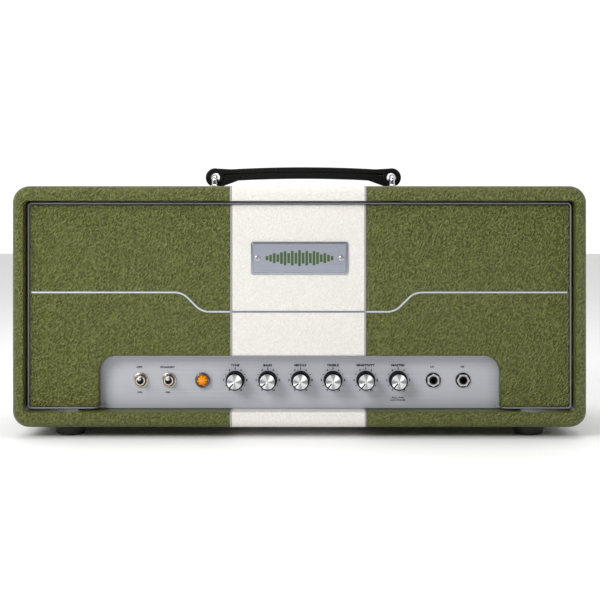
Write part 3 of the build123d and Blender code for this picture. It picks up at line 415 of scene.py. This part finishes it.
BEVELS = {
    "badge_screws": 0.1, "panel_nuts": 0.35, "control_panel": 0.15, "rear_connector_plate": 0.3, "mains_inlet": 0.4,
    "front_inlay_line": 0.3, "handle_grip": 2.2, "handle_under_strap": 1.8, "transformer_cores": 0.5, "fuse_holders": 0.3,
    "rear_vent_grille": 0.2, "toggle_switch_bodies": 0.2, "jack_sockets": 0.25, "cabinet_cleats": 0.6, "circuit_board": 0.2,
}
for node in N:
    dress(node, BEVELS.get(node, 0.0), mat={"pilot_lamp_bezel": "bezel", "panel_nuts": "nut_nickel"}.get(node))

# painted shade: the inlay across the cream band takes a darker silver, standing in for the shade of its groove
line = N["front_inlay_line"]
line.data.materials.append(M["inlay_painted_shade"])
for f in line.data.polygons:
    if abs(f.center.x / MM - BAND_C) < 80:
        f.material_index = 1

SWITCHES = (-193.4, -159.1)
body = N["toggle_switch_bodies"]
body.data.materials.append(M["nickel"])
body.data.materials.append(M["black_plastic"])
# painted shade: the inner walls and floor of each switch's bush are black, for the shade in its hollow
for f in body.data.polygons:
    c = f.center / MM
    r = min(math.hypot(c.x - x, c.z - CTRL_Z) for x in SWITCHES)
    if c.y < PANEL_Y + 3:
        f.material_index = 2 if r < 4.35 and f.normal.y > -0.9 or r < 3 else 1

# black washers under the input jacks' nuts
nuts = N["panel_nuts"]
nuts.data.materials.append(M["black_plastic"])
nuts.data.materials.append(M["nickel"])
for f in nuts.data.polygons:
    c = f.center / MM
    near = min(abs(c.x - x) for x in INPUTS) < 9.6
    if near and c.y > PANEL_Y - 1.31 and c.y < 0:
        f.material_index = 1
    elif c.x < -140 and c.y < 0:
        f.material_index = 2

# ---------------------------------------------------------------- band piping, round, over the seams
SINK, LIP = 0.82, 1.9
runs_ring, runs_front = [], []
for sx in (-1, 1):
    x = BAND_C + sx * BAND_X
    o, e = SINK, 10.0
    yz = []
    # top board: ceiling, lip, front, roundover, top, roundover, rear, lip, ceiling
    zc = OZ1
    yz += [(-97.0, zc + o), (-113.0, zc + o)]
    yz += arc(YF + LIP, zc + LIP, LIP - o, 270, 180, 5)
    yz += arc(YF + e, Z1 - e, e - o, 180, 90, 10)
    yz += arc(YR - e, Z1 - e, e - o, 90, 0, 10)
    yz += arc(YR - LIP, zc + LIP, LIP - o, 0, -90, 5)
    yz += [(104.5, zc + o)]
    runs_ring.append([(x, y, z) for y, z in yz])
    zf = OZ0
    yz = [(-91.0, zf - o), (-113.0, zf - o)]
    yz += arc(YF + LIP, zf - LIP, LIP - o, 90, 180, 5)
    yz += arc(YF + e, Z0 + e, e - o, 180, 270, 10)
    yz += arc(YR - e, Z0 + e, e - o, 270, 360, 10)
    yz += arc(YR - LIP, zf - LIP, LIP - o, 0, 90, 5)
    yz += [(104.5, zf - o)]
    runs_ring.append([(x, y, z) for y, z in yz])
    runs_front.append([(x, FB_Y + 2.2, ARCH_Z + 0.6), (x, FB_Y + 0.9, ARCH_Z + 1.5), (x, FB_Y + SINK, ARCH_Z + 3.2), (x, FB_Y + SINK, 278.0), (x, FB_Y + 1.0, 279.6), (x, FB_Y + 2.4, 280.6)])
pipes = tube("band_pipes", runs_ring + runs_front, 1.3, "piping")
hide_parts("band_piping")

# ---------------------------------------------------------------- knobs
for name, (x, angle) in KNOBS.items():
    body = name + "_control"
    y0, h = PANEL_Y - 1.0, 18.6
    yt = y0 - h
    bm = bmesh.new()
    side = [(8.3, y0 - 5.0), (8.3, y0), (11.2, y0), (11.55, y0 - 0.3), (11.6, y0 - 0.9), (11.55, y0 - 1.6)]
    n0 = len(side)
    for i in range(7):
        t = i / 6
        side.append((11.5 - 0.9 * t, y0 - 2.4 - (h - 4.2) * t))
    n1 = len(side) - 1
    side += [(10.45, yt + 1.0), (10.3, yt + 0.45), (9.95, yt + 0.12), (9.55, yt), (9.3, yt + 0.05), (9.22, yt + 0.35), (9.22, yt + 1.0), (0, yt + 1.0)]
    side = [(0, y0 - 5.0)] + side
    lathe(bm, x, CTRL_Z, side, seg=320, flutes=32, deep=1.25, span=(n0 + 1, n1 + 1))
    k = piece(name + "_knob_body", bm, "knob_black", body, 28)
    # spindle, kept as a second closed form
    ys = -61.0 if name != "master" else -74.15
    bm = bmesh.new()
    lathe(bm, x, CTRL_Z, [(0, y0 - 4.9), (2.98, y0 - 4.9), (2.98, -74.4), (0, -74.4)], seg=32)
    s = piece(name + "_spindle", bm, "zinc", body)
    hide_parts(name + "_knob")
    # spun cap with a fine turned face and the pointer line filled black
    bm = bmesh.new()
    prof = [(0, yt + 0.98), (9.15, yt + 0.98), (9.15, yt + 0.1), (9.0, yt - 0.14), (8.75, yt - 0.2)]
    prof += [(6.0, yt - 0.2), (3.0, yt - 0.2)]
    prof.append((0, yt - 0.2))
    lathe(bm, x, CTRL_Z, prof, seg=96)
    c = piece(name + "_cap", bm, "knob_cap", body, 60)
    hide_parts(name + "_knob_cap")
    bm = bmesh.new()
    slab(bm, -0.8, 0.8, yt - 0.26, yt - 0.1, 2.6, 9.1)
    p = piece(name + "_pointer", bm, "print_black", body)
    p.data.transform(Matrix.Translation((x * MM, 0, CTRL_Z * MM)) @ Matrix.Rotation(math.radians(angle), 4, "Y"))

# black ring between each switch's dress nut and its bush: painted shade standing in for a groove
for sw, x in zip(("power", "standby"), SWITCHES):
    face = min(v.co.y for v in nuts.data.vertices
               if 6.2 < math.hypot(v.co.x / MM - x, v.co.z / MM - CTRL_Z) < 8.6) / MM
    bm = bmesh.new()
    lathe(bm, x, CTRL_Z, [(6.15, face + 0.15), (6.15, face - 0.06), (6.95, face - 0.06), (6.95, face + 0.15), (6.15, face + 0.15)], seg=64)
    bmesh.ops.remove_doubles(bm, verts=bm.verts, dist=1e-7)
    piece(sw + "_nut_shade_ring", bm, "black_plastic")

# ---------------------------------------------------------------- pilot lamp: faceted jewel
bm = bmesh.new()
lx, f0 = -118.3, PANEL_Y
lathe(bm, lx, CTRL_Z, [(0, f0 - 1.6), (6.4, f0 - 1.6), (6.4, f0 - 4.2), (5.6, f0 - 6.4), (3.9, f0 - 8.1), (1.9, f0 - 9.0), (0, f0 - 9.3)],
      seg=16, flutes=8, deep=0.9, span=(3, 5))
lens = piece("lamp_jewel", bm, ["amber_lens", "amber_painted_shade"], "cabinet", 2)
# painted light and shade: every other facet of the crown takes the darker amber, standing in for refraction inside the
# jewel
for f in lens.data.polygons:
    c = f.center / MM
    if c.y < f0 - 4.5 and int(math.degrees(math.atan2(c.z - CTRL_Z, c.x - lx)) % 360 / 22.5) % 2:
        f.material_index = 1
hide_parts("pilot_lamp_lens")

# ---------------------------------------------------------------- badge
bw, bh, yb = 58.7, 19.8, FB_Y - 0.05
bm = bmesh.new()


def loop(bm, hx, hz, y, r, n=5):
    vs = []
    for cx, cz, a0 in ((hx - r, hz - r, 0), (-hx + r, hz - r, 90), (-hx + r, -hz + r, 180), (hx - r, -hz + r, 270)):
        for i in range(n + 1):
            a = math.radians(a0 + 90 * i / n)
            vs.append(bm.verts.new(((cx + r * math.cos(a)) * MM, y * MM, (BADGE_Z + cz + r * math.sin(a)) * MM)))
    return vs


steps = [(bw, bh, yb, 3.0), (bw, bh, yb - 1.2, 3.0), (bw - 0.35, bh - 0.35, yb - 1.7, 2.8), (bw - 2.0, bh - 2.0, yb - 2.75, 1.4),
         (bw - 2.3, bh - 2.3, yb - 2.95, 1.2), (bw - 2.7, bh - 2.7, yb - 2.95, 1.0), (bw - 3.0, bh - 3.0, yb - 2.6, 0.8)]
loops = [loop(bm, *s) for s in steps]
for i, (p, q) in enumerate(zip(loops, loops[1:])):
    for k in range(len(p)):
        bm.faces.new((p[k], p[(k + 1) % len(p)], q[(k + 1) % len(p)], q[k])).material_index = 1
bm.faces.new(loops[0]).material_index = 0
bm.faces.new(loops[-1]).material_index = 0
plate = piece("badge", bm, ["badge_metal", "badge_edge"], "cabinet", 20)
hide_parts("badge_plate")
# plain bar ornament in place of lettering
bm = bmesh.new()
bars = [5.0, 8.0, 12.0, 9.0, 14.0, 17.0, 12.0, 17.5, 13.0, 19.0]
for i, h2 in enumerate(bars + bars[-2::-1]):
    xx = (i - 9) * 4.35
    slab(bm, xx - 1.6, xx + 1.6, yb - 2.8, yb - 2.55, BADGE_Z - h2 / 2, BADGE_Z + h2 / 2)
piece("badge_ornament", bm, "ornament")

# ---------------------------------------------------------------- print on the panels
FY = PANEL_Y - 0.03
words = []
for name, (x, _) in KNOBS.items():
    words.append((name.upper(), x - 0.1, FY, 84.9, 2.9, LABELS[name]))
    for t, a in (("0", -150), ("2", -90), ("4", -30), ("5", 0), ("6", 30), ("8", 90), ("10", 150)):
        a = math.radians(a)
        words.append((t, x + 14.1 * math.sin(a), FY, CTRL_Z + 14.1 * math.cos(a), 2.6, None))
words += [
    ("OFF", -195.4, FY, 82.6, 2.5, 7.2), ("ON", -195.0, FY, 51.9, 2.4, 5.8),
    ("STANDBY", -160.9, FY, 82.5, 2.5, 18.0), ("ON", -160.8, FY, 51.9, 2.4, 5.8),
    ("LO", 161.8, FY, 83.1, 2.4, 4.6), ("HI", 198.4, FY, 83.1, 2.4, 4.0),
    ("PULL FOR", 120.0, FY, 45.3, 2.0, 15.0), ("LOW POWER", 120.0, FY, 42.3, 2.0, 18.5),
]
lettering("panel_print", words, "print_black")
bm = bmesh.new()
for name, (x, _) in KNOBS.items():
    for a in (-120, -60, 60, 120):
        part = bmesh.new()
        slab(part, -0.3, 0.3, FY - 0.02, FY + 0.02, 12.6, 14.6)
        me = bpy.data.meshes.new("t")
        part.to_mesh(me)
        part.free()
        me.transform(Matrix.Translation((x * MM, 0, CTRL_Z * MM)) @ Matrix.Rotation(math.radians(a), 4, "Y"))
        bm.from_mesh(me)
        bpy.data.meshes.remove(me)
piece("panel_ticks", bm, "print_black")
RY = 89.52 + 0.02
lettering(
    "rear_print",
    [("FOOTSWITCH", -20.0, RY, 79.0, 2.2, 18.0), ("EFFECTS", 20.0, RY, 79.0, 2.2, 12.0), ("16 OHM", 80.0, RY, 79.0, 2.2, 10.0),
     ("8 OHM", 120.0, RY, 79.0, 2.2, 9.0), ("4 OHM", 160.0, RY, 79.0, 2.2, 9.0), ("LOUDSPEAKERS", 120.0, RY, 84.5, 2.2, 22.0),
     ("FUSE", -135.0, RY, 79.0, 2.2, 7.0), ("FUSE", -95.0, RY, 79.0, 2.2, 7.0), ("MAINS INPUT", -195.0, RY, 84.5, 2.2, 20.0)],
    "print_white",
)

# ---------------------------------------------------------------- handle rivet
bm = bmesh.new()
lathe(bm, -76.3, 314.8, [(0, -13.9), (1.1, -13.9), (1.1, -14.0), (0.8, -14.0), (0, -14.0)], seg=24)
piece("handle_stitch", bm, "print_white", "handle")

# ---------------------------------------------------------------- stage, light, camera
bm = bmesh.new()
for c in ((-6, -6, 0), (6, -6, 0), (6, 6, 0), (-6, 6, 0)):
    bm.verts.new(c)
bm.faces.new(bm.verts)
me = bpy.data.meshes.new("floor")
bm.to_mesh(me)
bm.free()
floor = bpy.data.objects.new("floor", me)
floor.data.materials.append(M["floor"])
bpy.context.scene.collection.objects.link(floor)

scene = bpy.context.scene
world = bpy.data.worlds.new("studio")
scene.world = world
world.use_nodes = True
wn = world.node_tree
bg = wn.nodes["Background"]
bg.inputs["Color"].default_value = (1, 1, 1, 1)
# a studio that is white behind the object and darker where the camera stands
tc = wn.nodes.new("ShaderNodeTexCoord")
sep = wn.nodes.new("ShaderNodeSeparateXYZ")
mr = wn.nodes.new("ShaderNodeMapRange")
mr.inputs["From Min"].default_value = -0.75
mr.inputs["From Max"].default_value = 0.5
mr.inputs["To Min"].default_value = 0.12
mr.inputs["To Max"].default_value = 1.1
wn.links.new(tc.outputs["Generated"], sep.inputs[0])
wn.links.new(sep.outputs["Y"], mr.inputs["Value"])
wn.links.new(mr.outputs["Result"], bg.inputs["Strength"])


def lamp(name, place, target, size, watts):
    li = bpy.data.lights.new(name, "AREA")
    li.shape = "RECTANGLE"
    li.size, li.size_y = size
    li.energy = watts
    o = bpy.data.objects.new(name, li)
    o.location = place
    o.rotation_euler = (Vector(target) - Vector(place)).to_track_quat("-Z", "Y").to_euler()
    scene.collection.objects.link(o)


lamp("key", (-1.3, -1.75, 1.35), (0, 0, 0.15), (1.1, 1.1), 42)
lamp("top", (0.0, -0.1, 2.1), (0, 0, 0.2), (1.8, 0.8), 14)
lamp("fill", (1.15, -1.75, 1.25), (0, 0, 0.15), (0.5, 0.5), 5)

cam = bpy.data.cameras.new("camera")
cam.sensor_width = 36
cam.lens = 80.2
cam.shift_x = -0.0133
cam.shift_y = -0.158
cam.clip_start, cam.clip_end = 0.05, 50
co = bpy.data.objects.new("camera", cam)
co.location = (0.0102, -1.72, 0.280)
co.rotation_euler = (math.radians(90), 0, 0)
scene.collection.objects.link(co)
scene.camera = co
scene.view_settings.view_transform = "Standard"
